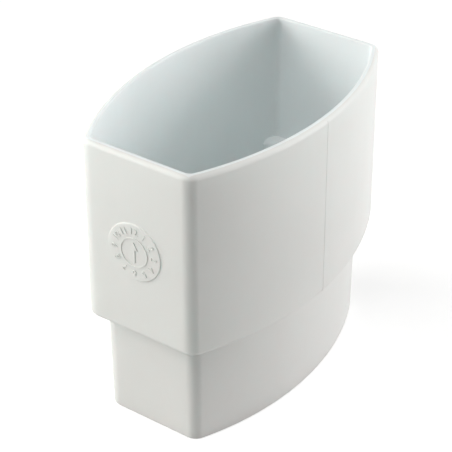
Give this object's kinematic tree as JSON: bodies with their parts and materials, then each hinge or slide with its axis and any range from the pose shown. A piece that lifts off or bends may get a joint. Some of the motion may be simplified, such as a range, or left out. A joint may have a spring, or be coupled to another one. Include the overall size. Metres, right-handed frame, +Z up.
{
  "type": "downspout connector",
  "caption": "Moulded downspout connector: a socket with flat ends and bowed sides over a narrower spigot, with corner stops inside, a rounded lip and a bare round mark on one end.",
  "frame": {"origin": "middle of the spigot's open end, on the surface that the connector stands on", "axes": "+X along the long axis of the section, away from the marked end; +Y across the bowed sides; +Z up the pipe run, from spigot to socket"},
  "size_m": [0.0964, 0.0616, 0.0927],
  "materials": {
    "pale_pvc": "satin"
  },
  "bodies": {
    "root": {"connector_body": "pale_pvc"}
  },
  "joints": []
}
